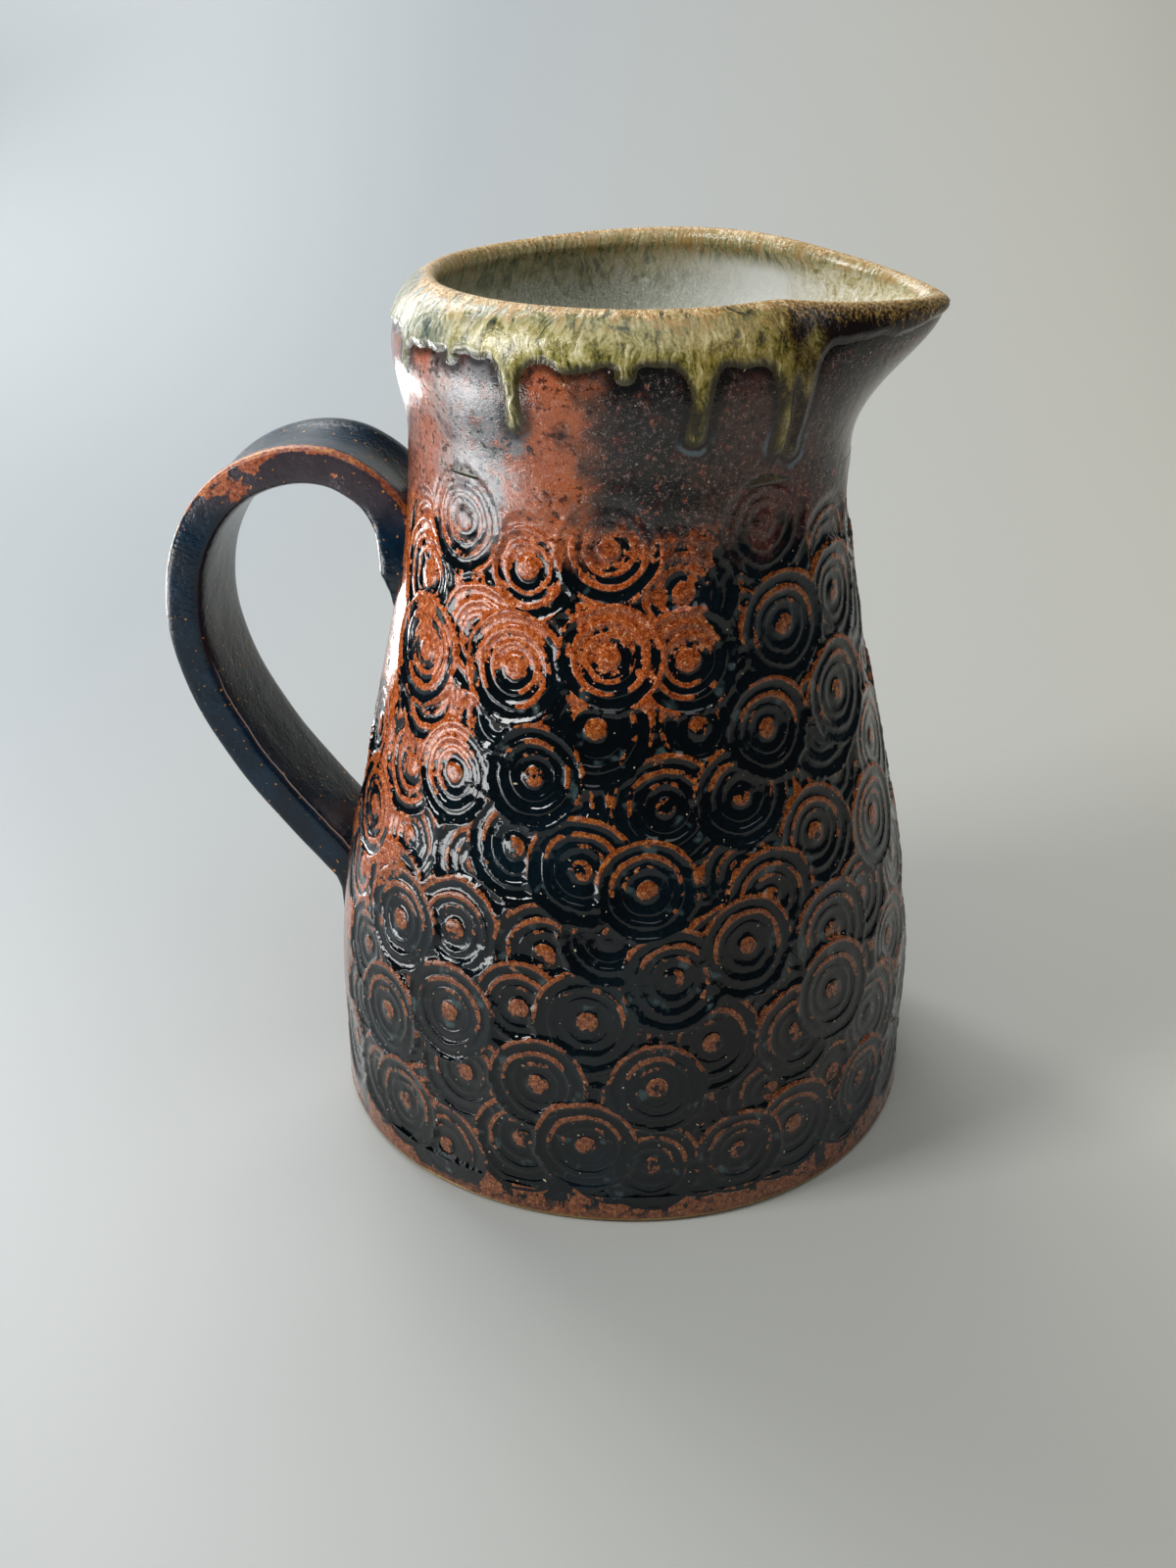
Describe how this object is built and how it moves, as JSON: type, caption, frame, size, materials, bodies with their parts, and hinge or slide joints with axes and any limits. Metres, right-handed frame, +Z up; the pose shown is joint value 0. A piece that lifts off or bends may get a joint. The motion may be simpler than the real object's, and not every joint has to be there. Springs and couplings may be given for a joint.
{
  "type": "pitcher",
  "caption": "Stoneware pitcher with a tapering ring-stamped body, rolled rim, pulled spout, strap handle and a pale glaze that runs down from the rim.",
  "frame": {"origin": "centre of the round foot, on the surface that the pitcher stands on", "axes": "+Z up along the body's axis, +X towards the tip of the spout, -X towards the handle"},
  "size_m": [0.1798, 0.143, 0.2032],
  "materials": {
    "dark_glazed_stoneware": "glossy dark iron glaze that breaks to rust brown on raised edges",
    "pale_rim_glaze": "glossy, pale olive to cream, streaked, with runs",
    "liner_glaze": "satin grey green",
    "bare_clay": "unglazed sandy stoneware"
  },
  "bodies": {
    "root": {"base_slab": "bare_clay", "body_wall": "dark_glazed_stoneware", "seam_coil": "bare_clay", "neck_collar": "dark_glazed_stoneware", "rolled_rim": "dark_glazed_stoneware", "spout": "dark_glazed_stoneware", "handle_strap": "dark_glazed_stoneware", "handle_upper_joint": "dark_glazed_stoneware", "handle_lower_joint": "dark_glazed_stoneware", "liner_glaze": "liner_glaze", "rim_glaze": "pale_rim_glaze"}
  },
  "joints": []
}
